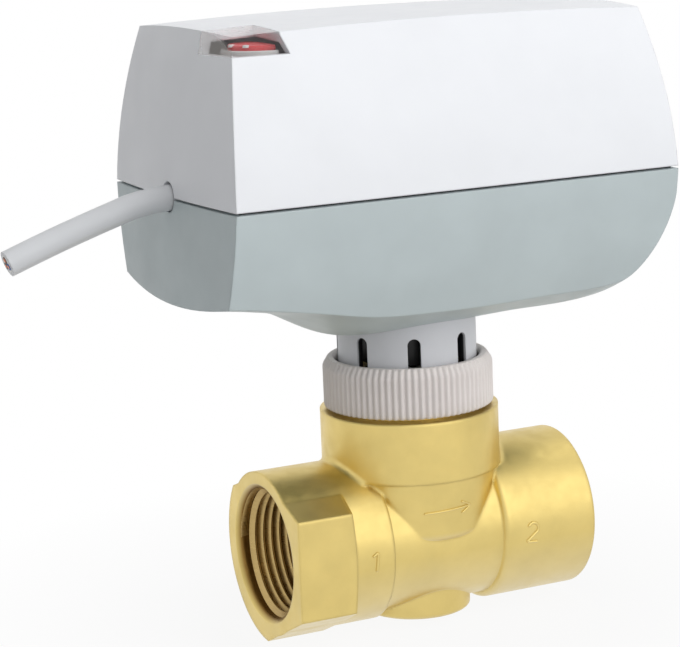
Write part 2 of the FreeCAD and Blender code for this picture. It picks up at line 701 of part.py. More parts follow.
def lower_plate():
    plate = block(PLATE_X[0], PLATE_X[1], -PLATE_HALF_Y, PLATE_HALF_Y, PLATE_LOW, PLATE_LOW + PLATE_T)
    z0, z1 = PLATE_LOW - 1, PLATE_LOW + PLATE_T + 1
    cuts = [cyl(HUB_R + RUN, z0, z1), cyl(AXLE_R + 0.7, z0, z1, *MOTOR_POS), cyl(AXLE_R + RUN, z0, z1, *DIAL_POS)]
    cuts += [cyl(AXLE_R, z0, z1, *pos) for pos in (WHEEL_POS, IDLER_POS)]
    cuts += [cyl(SCREW_R, z0, z1, *pos) for pos in PILLARS]
    return plate.cut(cuts)


def upper_plate():
    z0, z1 = TOP_PLATE, TOP_PLATE + TOP_PLATE_T
    plate = block(TOP_PLATE_X[0], TOP_PLATE_X[1], -PLATE_HALF_Y, PLATE_HALF_Y, z0, z1)
    cuts = [cyl(HUB_R - 0.6 + RUN, z0 - 1, z1 + 1), cyl(AXLE_R + RUN, z0 - 1, z1 + 1, *DIAL_POS)]
    cuts += [cyl(AXLE_R, z0 - 1, z1 + 1, *pos) for pos in (WHEEL_POS, IDLER_POS)]
    cuts += [cyl(SCREW_R, z0 - 1, z1 + 1, *pos) for pos in POSTS]
    return plate.cut(cuts)


def spacer_posts():
    posts = []
    for x, y in POSTS:
        post = cyl(2.0, PLATE_LOW + PLATE_T, TOP_PLATE, x, y)
        posts.append(post.cut(cyl(SCREW_R, TOP_PLATE - 5, TOP_PLATE + 1, x, y)))
    return Part.makeCompound(posts)


def screws(places, seat, depth):
    made = []
    for x, y in places:
        made.append(cyl(SCREW_R, seat - depth, seat, x, y).fuse(cyl(1.8, seat, seat + 1.4, x, y)).removeSplitter())
    return Part.makeCompound(made)


def circuit_board():
    return block(-37.0, -9.0, -15.0, 15.0, BOARD_Z, BOARD_Z + BOARD_T)


def terminal_block():
    z = BOARD_Z + BOARD_T
    body = block(-35.0, -26.5, -8.5, 8.5, z, z + 9.0)
    wells = []
    for i in range(3):
        y = (i - 1) * 5.5
        wells.append(cyl(1.7, z + 5.5, z + 10, -29.5, y))
        wells.append(block(-36.0, -32.5, y - 1.5, y + 1.5, z + 2.0, z + 5.5))
    return body.cut(wells)


def capacitor():
    z = BOARD_Z + BOARD_T
    return cyl(4.0, z, z + 12.5, -15.5, 9.0).cut(tube(5.0, 3.7, z + 1.2, z + 1.9, -15.5, 9.0))


def travel_switches():
    made = []
    for side in (-1, 1):
        y0, y1 = sorted((side * 9.0, side * 14.5))
        body = block(-6.0, 4.0, y0, y1, CAM_LOW - 3, PLATE_LOW)
        button = block(-2.0, 0.0, *sorted((side * 8.5, side * 9.0)), CAM_LOW + 1, CAM_LOW + CAM_T - 1)
        made.append(body.fuse(button).removeSplitter())
    return Part.makeCompound(made)


def strain_relief():
    return pipe_cyl(RELIEF_R, *RELIEF_X, CABLE_Y, CABLE_Z)


def cable_clamp():
    low = CABLE_Z - CABLE_R - 1.0
    bar = block(-43.5, -39.0, CABLE_Y - 4, CABLE_Y + 4, low, CABLE_Z + 4.6 - 2.1)
    return bar.cut(pipe_cyl(RELIEF_R, -46, -36, CABLE_Y, CABLE_Z))


# Cable stub: straight runs joined by tangent arcs
def cable():
    points = [V(AXIS + x, CABLE_Y, z) for x, z in CABLE_ROUTE]
    edges = []
    here = points[0]
    for i in range(1, len(points) - 1):
        back = (points[i - 1] - points[i])
        ahead = (points[i + 1] - points[i])
        run = min(back.Length, ahead.Length)
        back.normalize()
        ahead.normalize()
        turn = math.pi - back.getAngle(ahead)
        cut = 0.45 * run
        radius = cut / math.tan(turn / 2)
        start = points[i] + back * cut
        end = points[i] + ahead * cut
        bisector = (back + ahead).normalize()
        middle = points[i] + bisector * (math.hypot(cut, radius) - radius)
        edges.append(Part.LineSegment(here, start).toShape())
        edges.append(Part.Arc(start, middle, end).toShape())
        here = end
        print("cable arc radius %.1f" % radius)
    edges.append(Part.LineSegment(here, points[-1]).toShape())
    path = Part.Wire(edges)
    circle = Part.Wire(Part.Edge(Part.Circle(points[0], points[1] - points[0], CABLE_R)))
    solid = path.makePipeShell([circle], True, False)
    expected = path.Length * math.pi * CABLE_R ** 2
    print("cable length %.2f volume %.2f section times length %.2f" % (path.Length, solid.Volume, expected))
    return solid


def main():
    save("valve_body", valve_body())
    save("valve_bonnet", valve_bonnet())
    save("bonnet_o_ring", ring_seal(BONNET_R - 0.75, BONNET_RING_R, BONNET_RING_Z))
    save("stem_o_ring", ring_seal(STEM_R + 0.82, STEM_RING_R, STEM_RING_Z))
    seal_z = SEAT_Z + SEAT_LIP + PLUG_GAP
    save("valve_stem", cyl(STEM_R, seal_z - PLUG_NUT_T, STEM_TOP))
    save("valve_plug", tube(PLUG_R, STEM_R, seal_z + SEAL_T, seal_z + SEAL_T + PLUG_T))
    save("plug_seal", tube(PLUG_R - 0.2, STEM_R, seal_z, seal_z + SEAL_T))
    save("plug_nut", tube(PLUG_NUT_R, STEM_R, seal_z - PLUG_NUT_T, seal_z))
    save("valve_spring", valve_spring())
    save("spring_retainer", tube(RETAINER_R, STEM_R, STEM_TOP - RETAINER_T - 0.6, STEM_TOP - 0.6))
    save("coupling_nut", coupling_nut())
    save("coupling_collar", coupling_collar())
    save("collar_screws", collar_screws())
    save("lower_housing", lower_housing())
    shell = cover_shell()
    save("upper_cover", upper_cover(shell))
    save("indicator_window", shell.common(window_wedge(0.06)))
    save("guide_bush", guide_bush())
    save("plunger", plunger())
    save("output_gear", output_gear())
    save("switch_cam", switch_cam())
    save("compound_gear", compound_gear())
    save("compound_axle", axle(WHEEL_POS))
    save("idler_gear", idler_gear())
    save("idler_axle", axle(IDLER_POS))
    save("indicator_gear", dial_gear())
    save("indicator_red", half_dial(-FAR, DIAL_POS[0]))
    save("indicator_white", half_dial(DIAL_POS[0], FAR))
    save("motor_case", motor_case())
    save("motor_shaft", motor_shaft())
    save("motor_pinion", motor_pinion())
    save("lower_gear_plate", lower_plate())
    save("upper_gear_plate", upper_plate())
    save("spacer_posts", spacer_posts())
    save("post_screws", screws(POSTS, TOP_PLATE + TOP_PLATE_T, 5.0))
    save("frame_screws", screws(PILLARS, PLATE_LOW + PLATE_T, 7.0))
    save("circuit_board", circuit_board())
    save("terminal_block", terminal_block())
    save("capacitor", capacitor())
    save("travel_switches", travel_switches())
    save("strain_relief", strain_relief())
    save("cable_clamp", cable_clamp())
    save("cable", cable())


main()
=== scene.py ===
import json
import math

import bpy
from mathutils import Matrix, Vector
from mathutils.bvhtree import BVHTree


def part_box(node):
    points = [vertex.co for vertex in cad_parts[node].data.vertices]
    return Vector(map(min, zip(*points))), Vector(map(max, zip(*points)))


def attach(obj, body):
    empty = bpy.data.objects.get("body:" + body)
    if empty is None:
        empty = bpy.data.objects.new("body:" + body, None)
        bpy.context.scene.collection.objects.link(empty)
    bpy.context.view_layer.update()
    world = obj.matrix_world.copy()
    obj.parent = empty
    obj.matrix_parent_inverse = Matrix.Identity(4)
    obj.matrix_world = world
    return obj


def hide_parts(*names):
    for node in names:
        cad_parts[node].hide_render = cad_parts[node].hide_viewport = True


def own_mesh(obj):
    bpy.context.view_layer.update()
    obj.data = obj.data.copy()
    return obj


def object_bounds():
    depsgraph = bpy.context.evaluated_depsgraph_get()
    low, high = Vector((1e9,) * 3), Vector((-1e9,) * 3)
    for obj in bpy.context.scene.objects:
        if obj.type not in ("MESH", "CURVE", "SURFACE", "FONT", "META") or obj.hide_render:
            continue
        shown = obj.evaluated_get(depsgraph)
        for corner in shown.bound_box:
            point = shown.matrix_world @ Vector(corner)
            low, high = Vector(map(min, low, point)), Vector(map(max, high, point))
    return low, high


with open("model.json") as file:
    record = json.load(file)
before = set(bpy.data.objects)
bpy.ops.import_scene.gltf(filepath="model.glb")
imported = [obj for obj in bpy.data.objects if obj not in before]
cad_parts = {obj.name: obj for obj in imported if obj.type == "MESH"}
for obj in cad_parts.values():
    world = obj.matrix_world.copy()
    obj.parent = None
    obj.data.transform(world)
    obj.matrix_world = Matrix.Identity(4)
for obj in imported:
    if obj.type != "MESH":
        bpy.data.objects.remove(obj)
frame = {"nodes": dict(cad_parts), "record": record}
CAD_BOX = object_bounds()
NODES = frame["nodes"]
ROOT = "valve_and_actuator"
SCENE = bpy.context.scene
MM = 0.001

# The valve, in millimetres: the origin is where port 1's thread starts, and its middle is at AXIS
FACE_TO_FACE = 67.2
HALF_FACE = FACE_TO_FACE / 2
COUNTERSINK = 0.9
AXIS = HALF_FACE - COUNTERSINK


def srgb(r, g, b):
    """A colour written as 0 to 255 display values, in linear light."""
    def one(c):
        c /= 255
        return c / 12.92 if c <= 0.04045 else ((c + 0.055) / 1.055) ** 2.4
    return (one(r), one(g), one(b), 1)


# Camera, fitted to the photograph: pixels of it, degrees, and millimetres from the valve's middle
PHOTO_WIDTH_PX = 680
FOCAL_LENGTH_PX = 2339.65
SENSOR_WIDTH = 36
CAMERA_YAW = -25.27
CAMERA_PITCH = 11.22
CAMERA_ROLL = -2.41
CAMERA_BACK = 481.0
CAMERA_LEFT = 15.06
CAMERA_UP = 41.89


def add_camera():
    yaw, pitch, roll = [math.radians(a) for a in (CAMERA_YAW, CAMERA_PITCH, CAMERA_ROLL)]
    back = Vector((math.sin(yaw) * math.cos(pitch), -math.cos(yaw) * math.cos(pitch), math.sin(pitch)))
    level = Vector((math.cos(yaw), math.sin(yaw), 0))
    upright = back.cross(level)
    right = level * math.cos(roll) + upright * math.sin(roll)
    up = upright * math.cos(roll) - level * math.sin(roll)
    place = (back * CAMERA_BACK - right * CAMERA_LEFT + up * CAMERA_UP + Vector((AXIS, 0, 0))) * MM
    turn = Matrix((right, up, back)).transposed().to_4x4()
    data = bpy.data.cameras.new("camera")
    data.sensor_width = SENSOR_WIDTH
    data.lens = FOCAL_LENGTH_PX * SENSOR_WIDTH / PHOTO_WIDTH_PX
    data.clip_start, data.clip_end = 0.02, 50
    camera = bpy.data.objects.new("camera", data)
    camera.matrix_world = Matrix.Translation(place) @ turn
    SCENE.collection.objects.link(camera)
    SCENE.camera = camera


add_camera()


# Node helpers, for the nodes of a material or of the world
def shader_of(mat):
    return mat.node_tree.nodes["Principled BSDF"]


def material(name, colour, rough, metallic=0.0):
    mat = bpy.data.materials.new(name)
    mat.use_nodes = True
    inputs = shader_of(mat).inputs
    inputs["Base Color"].default_value = colour
    inputs["Roughness"].default_value = rough
    inputs["Metallic"].default_value = metallic
    return mat


def feed(mat, socket, value):
    """Links another node's output to the socket, or sets the socket to a plain value."""
    if isinstance(value, bpy.types.NodeSocket):
        mat.node_tree.links.new(value, socket)
    else:
        socket.default_value = value


def node(mat, kind, inputs=None, **settings):
    made = mat.node_tree.nodes.new("ShaderNode" + kind)
    for key, value in settings.items():
        setattr(made, key, value)
    for key, value in (inputs or {}).items():
        feed(mat, made.inputs[key], value)
    return made


def to_shader(mat, key, out):
    feed(mat, shader_of(mat).inputs[key], out)


def link_of(mat, key):
    """What is linked to the shader's socket so far."""
    return shader_of(mat).inputs[key].links[0].from_socket


def place_of(mat):
    return node(mat, "TexCoord").outputs["Object"]


def normal_of(mat):
    return node(mat, "NewGeometry").outputs["Normal"]


def split(mat, vector):
    """The X, Y and Z of a vector."""
    return node(mat, "SeparateXYZ", {"Vector": vector}).outputs


def noise(mat, size_mm, detail, roughness=0.5):
    return node(mat, "TexNoise", {"Vector": place_of(mat), "Scale": 1000 / size_mm, "Detail": detail,
                                  "Roughness": roughness}).outputs["Fac"]


def spread(mat, value, low, high, start=0.35, end=0.65):
    """Low where the value is start, high where it is end, and evenly between."""
    return node(mat, "MapRange", {"Value": value, "From Min": start, "From Max": end, "To Min": low,
                                  "To Max": high}).outputs["Result"]


def fade(mat, value, low, high, limits_mm):
    """Low where the value is at the first limit, and high where it is at the second."""
    return spread(mat, value, low, high, limits_mm[0] * MM, limits_mm[1] * MM)


def blend(mat, share, a, b):
    """All a where the share is 0, and all b where it is 1."""
    made = node(mat, "Mix", data_type="RGBA")
    for key, value in (("Factor", share), ("A", a), ("B", b)):
        feed(mat, [s for s in made.inputs if s.name == key and s.enabled][0], value)
    return [s for s in made.outputs if s.enabled][0]


def calc(mat, operation, a, b=0.0, c=0.0):
    return node(mat, "Math", {0: a, 1: b, 2: c}, operation=operation).outputs[0]


def distance(mat, a, b):
    """How far a place is from an axis, from its two distances across it."""
    return calc(mat, "SQRT", calc(mat, "ADD", calc(mat, "MULTIPLY", a, a), calc(mat, "MULTIPLY", b, b)))


def from_stem(mat):
    """How far a place is from the stem's axis."""
    place = split(mat, place_of(mat))
    return distance(mat, calc(mat, "SUBTRACT", place["X"], AXIS * MM), place["Y"])


def rounded_bump(mat, height, strength, depth_mm, edge_mm):
    """Surface relief, over edges that catch the light as if rounded."""
    edge = node(mat, "Bevel", {"Radius": edge_mm * MM}, samples=6).outputs["Normal"]
    relief = {"Strength": strength, "Distance": depth_mm * MM, "Height": height, "Normal": edge}
    return node(mat, "Bump", relief).outputs["Normal"]


def mottled(mat, colour, change, size_mm, detail):
    """The colour in patches that are darker and lighter by a share."""
    low = tuple(c * (1 - change) for c in colour[:3]) + (1,)
    high = tuple(min(1.0, c * (1 + change)) for c in colour[:3]) + (1,)
    return blend(mat, spread(mat, noise(mat, size_mm, detail), 0, 1), low, high)


# Moulded plastic: spark-eroded grain, faint flow mottling, rounded edges
def plastic(name, colour, rough, grain_mm, strength, edge_mm, change):
    mat = material(name, colour, rough)
    to_shader(mat, "Base Color", mottled(mat, colour, change, size_mm=14, detail=3))
    to_shader(mat, "Roughness", spread(mat, noise(mat, size_mm=5, detail=4), rough - 0.05, rough + 0.05))
    grain = noise(mat, grain_mm, detail=3, roughness=0.6)
    to_shader(mat, "Normal", rounded_bump(mat, grain, strength, depth_mm=0.03, edge_mm=edge_mm))
    return mat


# Drawn or turned metal: fine strokes round the stem's axis
def metal(name, colour, rough, grain_mm, strength, edge_mm, change):
    mat = material(name, colour, rough, metallic=1.0)
    to_shader(mat, "Base Color", mottled(mat, colour, change, size_mm=4, detail=3))
    squeezed = node(mat, "Mapping", {"Vector": place_of(mat), "Scale": (1.0, 1.0, 12.0)}).outputs["Vector"]
    stroke = {"Vector": squeezed, "Scale": 1000 / (grain_mm * 6), "Detail": 3.0}
    strokes = node(mat, "TexNoise", stroke).outputs["Fac"]
    to_shader(mat, "Roughness", spread(mat, strokes, rough - 0.07, rough + 0.09))
    to_shader(mat, "Normal", rounded_bump(mat, strokes, strength, depth_mm=0.02, edge_mm=edge_mm))
    return mat


# Cast brass: grained skin, paler below from a painted reflection of the floor, turning rings on the end
# faces, painted shade in the bores
BRASS_SKIN = srgb(219, 196, 124)
BRASS_FLOOR_REFLECTION = srgb(222, 210, 176)
BRASS_BORE_SHADE = srgb(134, 104, 54)
BRASS_ROUGH = 0.36
BORE_EDGE = (13.3, 14.2)                             # from the pipe's axis: shade fades out
BORE_START = (15.5, 17.0)                            # from the valve's middle: shade sets in
END_FACE = (HALF_FACE - 1.0, HALF_FACE - 0.95)       # from the valve's middle: rings set in
RING_PITCH = 0.22


def brass(name, edge_mm):
    mat = material(name, BRASS_SKIN, BRASS_ROUGH, metallic=1.0)
    place = split(mat, place_of(mat))
    from_middle = calc(mat, "ABSOLUTE", calc(mat, "SUBTRACT", place["X"], AXIS * MM))
    radius = distance(mat, place["Y"], place["Z"])
    # Painted shade inside the bores of both ports
    in_pipe = fade(mat, radius, 1, 0, BORE_EDGE)
    in_port = fade(mat, from_middle, 0, 1, BORE_START)
    bore_shade = calc(mat, "MULTIPLY", in_pipe, in_port)
    # Painted reflection of the pale floor: faces that point down are paler
    floor_reflection = spread(mat, split(mat, normal_of(mat))["Z"], low=0.6, high=0, start=-0.9, end=-0.1)
    skin = blend(mat, floor_reflection, mottled(mat, BRASS_SKIN, 0.05, size_mm=9, detail=4), BRASS_FLOOR_REFLECTION)
    to_shader(mat, "Base Color", blend(mat, bore_shade, skin, BRASS_BORE_SHADE))
    face = fade(mat, from_middle, 0, 1, END_FACE)
    grain = noise(mat, size_mm=0.42, detail=4, roughness=0.65)
    rings = calc(mat, "SINE", calc(mat, "MULTIPLY", radius, 2 * math.pi / (RING_PITCH * MM)))
    relief = blend(mat, face, grain, spread(mat, rings, low=0.35, high=0.65, start=-1, end=1))
    to_shader(mat, "Normal", rounded_bump(mat, relief, strength=0.22, depth_mm=0.035, edge_mm=edge_mm))
    rough = spread(mat, noise(mat, size_mm=2.5, detail=4), BRASS_ROUGH - 0.05, BRASS_ROUGH + 0.06)
    to_shader(mat, "Roughness", rough)
    return mat


# Each row: colour, roughness, grain in mm, its strength, rounded edge in mm, change of tone
PLASTICS = {
    "rubber": (srgb(24, 24, 26), 0.6, 0.2, 0.3, 0.1, 0.03),
    "nut_plastic": (srgb(224, 217, 214), 0.42, 0.25, 0.12, 0.22, 0.03),
    "collar_plastic": (srgb(208, 209, 213), 0.4, 0.25, 0.15, 0.25, 0.03),
    "base_plastic": (srgb(191, 202, 204), 0.44, 0.3, 0.2, 0.5, 0.03),
    "cover_plastic": (srgb(238, 240, 244), 0.42, 0.3, 0.2, 0.5, 0.012),
    "window_plastic": (srgb(160, 155, 157), 0.12, 2.0, 0.05, 0.3, 0.05),
    "gear_plastic": (srgb(228, 226, 216), 0.45, 0.3, 0.1, 0.1, 0.03),
    "red_plastic": (srgb(244, 62, 66), 0.35, 0.3, 0.08, 0.1, 0.03),
    "white_plastic": (srgb(242, 242, 240), 0.35, 0.3, 0.08, 0.1, 0.01),
    "board": (srgb(30, 92, 58), 0.4, 0.6, 0.2, 0.05, 0.08),
    "terminal_plastic": (srgb(52, 128, 70), 0.42, 0.3, 0.15, 0.15, 0.03),
    "black_plastic": (srgb(32, 32, 34), 0.42, 0.3, 0.15, 0.15, 0.03),
    "cable_pvc": (srgb(214, 216, 219), 0.38, 0.5, 0.12, 0.1, 0.015),
    "core_brown": (srgb(104, 62, 40), 0.4, 0.2, 0.1, 0.05, 0.03),
    "core_blue": (srgb(52, 92, 160), 0.4, 0.2, 0.1, 0.05, 0.03),
    "core_black": (srgb(40, 40, 42), 0.4, 0.2, 0.1, 0.05, 0.03),
}
METALS = {
    "turned_brass": (srgb(220, 198, 134), 0.28, 0.25, 0.2, 0.2, 0.05),
    "steel": (srgb(186, 188, 192), 0.3, 0.25, 0.2, 0.2, 0.05),
    "zinc_screw": (srgb(198, 200, 204), 0.3, 0.25, 0.2, 0.2, 0.05),
    "motor_can": (srgb(176, 178, 182), 0.36, 0.25, 0.2, 0.2, 0.05),
    "thread_brass": (srgb(186, 160, 106), 0.34, 0.5, 0.05, 0.12, 0.04),
    "core_copper": (srgb(205, 122, 84), 0.28, 0.1, 0.2, 0.2, 0.05),
}
MATERIALS = {name: plastic(name, *row) for name, row in PLASTICS.items()}
MATERIALS.update({name: metal(name, *row) for name, row in METALS.items()})
MATERIALS["cast_brass"] = brass("cast_brass", edge_mm=1.0)
MATERIALS["mark_brass"] = brass("mark_brass", edge_mm=0.2)


# The parting groove's floor, which is the base's tongue, lies in deep shade
TONGUE_SHADE = srgb(46, 48, 50)
TONGUE_Z = (73.18, 73.23)


def shade_tongue():
    mat = MATERIALS["base_plastic"]
    tongue = fade(mat, split(mat, place_of(mat))["Z"], 0, 1, TONGUE_Z)
    to_shader(mat, "Base Color", blend(mat, tongue, link_of(mat, "Base Color"), TONGUE_SHADE))


# So do the walls of the collar's slots, behind a thin light rim
SLOT_SHADE = srgb(34, 35, 37)
SLOT_RIM_R = (13.45, 13.75)
SLOT_TOP_Z = (42.6, 42.8)


def shade_slots():
    mat = MATERIALS["collar_plastic"]
    deep = fade(mat, from_stem(mat), 1, 0, SLOT_RIM_R)
    low = fade(mat, split(mat, place_of(mat))["Z"], 1, 0, SLOT_TOP_Z)
    slot = calc(mat, "MULTIPLY", deep, low)
    to_shader(mat, "Base Color", blend(mat, slot, link_of(mat, "Base Color"), SLOT_SHADE))


# Smoked window: clearest at the front; on its top and its end a painted sheen of light makes it paler and
# hazier
WINDOW_TOP_SHEEN = srgb(226, 228, 231)
WINDOW_TOP_Z = (103.4, 103.5)
WINDOW_END_SHEEN = srgb(178, 174, 168)
WINDOW_END_X = (AXIS - 45.4, AXIS - 45.2)
SMOKE_ALPHA = 0.1
TOP_SHEEN_VEIL = 0.45
END_SHEEN_VEIL = 0.4


def paint_window_sheen():
    mat = MATERIALS["window_plastic"]
    normal, place = split(mat, normal_of(mat)), split(mat, place_of(mat))
    # Painted sheen: the top and the end panes lighter and less clear
    faces_up = spread(mat, normal["Z"], low=0, high=1, start=0.6, end=0.8)
    top = calc(mat, "MULTIPLY", faces_up, fade(mat, place["Z"], 0, 1, WINDOW_TOP_Z))
    faces_left = spread(mat, normal["X"], low=1, high=0, start=-0.8, end=-0.6)
    end = calc(mat, "MULTIPLY", faces_left, fade(mat, place["X"], 1, 0, WINDOW_END_X))
    smoke_and_sheen = blend(mat, end, link_of(mat, "Base Color"), WINDOW_END_SHEEN)
    to_shader(mat, "Base Color", blend(mat, top, smoke_and_sheen, WINDOW_TOP_SHEEN))
    veil = calc(mat, "MULTIPLY_ADD", top, TOP_SHEEN_VEIL, SMOKE_ALPHA)
    to_shader(mat, "Alpha", calc(mat, "MULTIPLY_ADD", end, END_SHEEN_VEIL, veil))


shade_tongue()
shade_slots()
paint_window_sheen()
for part in frame["record"]["subparts"]:
    if part["node"] != "cable":
        materials = NODES[part["node"]].data.materials
        materials.clear()
        materials.append(MATERIALS[part["material_slot"]])


# Mesh helpers: points are in millimetres from the valve's middle
def piece(name, verts, faces, look, body=ROOT, sharp=35):
    """A mesh object in one of the materials, which rides with its body."""
    mesh = bpy.data.meshes.new(name)
    mesh.from_pydata([((AXIS + x) * MM, y * MM, z * MM) for x, y, z in verts], [], faces)
    mesh.polygons.foreach_set("use_smooth", [True] * len(mesh.polygons))
    mesh.set_sharp_from_angle(angle=math.radians(sharp))
    mesh.materials.append(MATERIALS[look])
    made = bpy.data.objects.new(name, mesh)
    SCENE.collection.objects.link(made)
    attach(made, body)
    return made


def strip_faces(rows, across, closed=False):
    """Faces between rows of points, row after row."""
    faces = []
    for i in range(rows - 1):
        for j in range(across if closed else across - 1):
            k = (j + 1) % across
            faces.append((i * across + j, i * across + k, (i + 1) * across + k, (i + 1) * across + j))
    return faces


def around(count):
    """The angles of a full turn in equal steps."""
    return [2 * math.pi * i / count for i in range(count)]


def turned(profile, turns, x=0.0, y=0.0, foot=0.0):
    """The points of a profile of radius and height above its foot, turned round an upright axis."""
    return [(x + r * math.cos(a), y + r * math.sin(a), foot + up) for r, up in profile for a in turns]


# Cable: a smooth spline along the route that the CAD's cable follows
CABLE_R = 2.5
CABLE_Y = -0.7
CABLE_ROUTE = [(-44.5, 73.6), (-54.0, 73.6), (-64.2, 70.5), (-74.5, 67.2), (-82.6, 64.25)]


def add_cable():
    curve = bpy.data.curves.new("cable_jacket", "CURVE")
    curve.dimensions = "3D"
    curve.bevel_depth = CABLE_R * MM
    curve.bevel_resolution = 10
    curve.resolution_u = 24
    curve.use_fill_caps = True
    spline = curve.splines.new("NURBS")
    spline.points.add(len(CABLE_ROUTE) - 1)
    for point, (x, z) in zip(spline.points, CABLE_ROUTE):
        point.co = ((AXIS + x) * MM, CABLE_Y * MM, z * MM, 1)
    spline.order_u = 3
    spline.use_endpoint_u = True
    curve.materials.append(MATERIALS["cable_pvc"])
    made = bpy.data.objects.new("cable_jacket", curve)
    SCENE.collection.objects.link(made)
    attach(made, ROOT)
    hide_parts("cable")
    return made


# The cable's cut end: a filler round three cores, as profiles of radius and distance past the cut
FILLER = [(1.72, -0.4), (1.72, 0.03), (1.66, 0.06), (0.01, 0.06)]
CORE_SHEATH = [(0.70, -0.3), (0.70, 0.15), (0.64, 0.20), (0.40, 0.20), (0.37, 0.16), (0.37, 0.0)]
CORE_COPPER = [(0.36, -0.2), (0.36, 0.2), (0.30, 0.25), (0.01, 0.25)]
CORE_CIRCLE_R = 0.84
CORES = [("core_brown", 90), ("core_blue", 210), ("core_black", 330)]


def end_turning(name, profile, out, degrees, look):
    """A profile turned round a line that is parallel to the cable's end, and so far out from it."""
    (x0, z0), (x1, z1) = CABLE_ROUTE[-2:]
    run = Vector((x1 - x0, 0, z1 - z0)).normalized()
    side = Vector((0, 1, 0))
    rise = side.cross(run)

    def across(a, r):
        return (side * math.cos(a) + rise * math.sin(a)) * r

    middle = Vector((x1, CABLE_Y, z1)) + across(math.radians(degrees), out)
    turns = around(32)
    verts = [middle + run * past + across(a, r) for r, past in profile for a in turns]
    return piece(name, verts, strip_faces(len(profile), len(turns), True), look)


def add_cores():
    made = [end_turning("cable_filler", FILLER, 0, 0, "white_plastic")]
    for i, (look, degrees) in enumerate(CORES, 1):
        made.append(end_turning("cable_core_%d" % i, CORE_SHEATH, CORE_CIRCLE_R, degrees, look))
        made.append(end_turning("cable_copper_%d" % i, CORE_COPPER, CORE_CIRCLE_R, degrees, "core_copper"))
    return made


cable = add_cable()
cores = add_cores()


# Pipe thread inside both ports: one ridge that rises and runs out over half a turn
THREAD_PITCH = 25.4 / 14
THREAD_R = 13.22
THREAD_CREST_R = 12.06
THREAD_START = 1.6     # from the sleeve's end face, as THREAD_END is
THREAD_END = 15.0
THREAD_FADE = 0.5      # turns
THREAD_STEPS = 96      # per turn
RIDGE = [(-0.89, -0.05), (-0.72, 0.09), (-0.17, 0.92), (0, 1), (0.17, 0.92), (0.72, 0.09), (0.89, -0.05)]


def add_thread(name, start_x, end_x):
    turns = (end_x - start_x) / THREAD_PITCH
    steps = int(turns * THREAD_STEPS)
    verts = []
    for i in range(steps + 1):
        turn = turns * i / steps
        rise = max(0.0, min(1.0, turn / THREAD_FADE, (turns - turn) / THREAD_FADE))
        a = 2 * math.pi * turn
        for along, height in RIDGE:
            r = THREAD_R - (THREAD_R - THREAD_CREST_R) * (height * rise if height > 0 else height)
            verts.append((start_x + turn * THREAD_PITCH + along, r * math.cos(a), r * math.sin(a)))
    piece(name, verts, strip_faces(steps + 1, len(RIDGE)), "thread_brass", sharp=180)


add_thread("thread_port_1", -HALF_FACE + THREAD_START, -HALF_FACE + THREAD_END)
add_thread("thread_port_2", HALF_FACE - THREAD_END, HALF_FACE - THREAD_START)


# Union nut: turned profile of radius, height above its foot and share of the grooves' depth
NUT_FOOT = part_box("coupling_nut")[0].z / MM
NUT_RIBS = 80
NUT_GROOVE = 0.44
NUT_GROOVE_STEPS = 10
NUT_PROFILE = [
    (15.05, 0, 0), (16.2, 0, 0), (16.95, 0.03, 0.8), (17.13, 0.17, 1), (17.23, 0.46, 1),
    (17.23, 3.31, 1), (17.23, 7.91, 1), (17.18, 8.36, 1), (16.95, 8.81, 1), (16.52, 9.51, 0.95),
    (16.3, 9.86, 0.7), (16.1, 10.03, 0.25), (15.85, 10.09, 0), (15.2, 10.09, 0), (15.0, 10.01, 0),
    (14.62, 9.51, 0), (14.5, 9.31, 0), (14.5, 8.11, 0), (15.75, 8.11, 0), (15.75, 6.41, 0),
    (15.05, 6.41, 0),
]


def add_nut():
    turns = around(NUT_RIBS * NUT_GROOVE_STEPS)
    count = len(turns)
    verts = []
    for r, up, share in NUT_PROFILE:
        for a in turns:
            dip = (0.5 - 0.5 * math.cos(NUT_RIBS * a)) ** 1.5
            out = r - NUT_GROOVE * share * dip
            verts.append((out * math.cos(a), out * math.sin(a), NUT_FOOT + up))
    last = (len(NUT_PROFILE) - 1) * count
    faces = strip_faces(len(NUT_PROFILE), count, True)
    faces += [(last + i, last + (i + 1) % count, (i + 1) % count, i) for i in range(count)]
    nut = piece("ribbed_nut", verts, faces, "nut_plastic", "union_nut", sharp=60)
    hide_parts("coupling_nut")


add_nut()


# Dial under the window: a raised red half with a pale wall, and on its edge two white dots that are
# painted highlights
DISC_LOW, DISC_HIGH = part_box("indicator_red")
DIAL_X = DISC_HIGH.x / MM - AXIS
DIAL_Y = (DISC_LOW.y + DISC_HIGH.y) / 2 / MM
DIAL_FOOT = DISC_HIGH.z / MM
DIAL_WALL = [(7.9, 0), (7.72, 3.2), (7.6, 3.35), (7.15, 3.35), (7.05, 0)]
DIAL_RED = [(6.4, 0), (6.35, 4.0), (6.2, 4.2), (5.9, 4.26), (0.5, 4.35), (0.5, 0)]
DIAL_HALF_TURN = [math.radians(90 + 180 * i / 48) for i in range(49)]
GLINT_DOT_PROFILE = [(0.65, 3.9), (0.62, 4.25), (0.45, 4.38), (0.01, 4.4)]
GLINT_DOT_CIRCLE_R = 6.2


def add_half_drum(name, profile, slot):
    rows, count = len(profile), len(DIAL_HALF_TURN)
    starts = [i * count for i in range(rows)]
    ends = [i + count - 1 for i in reversed(starts)]
    foot = [(starts[-1] + i, starts[-1] + i + 1, i + 1, i) for i in range(count - 1)]
    verts = turned(profile, DIAL_HALF_TURN, DIAL_X, DIAL_Y, DIAL_FOOT)
    piece(name, verts, strip_faces(rows, count) + [starts, ends] + foot, slot, "indicator")


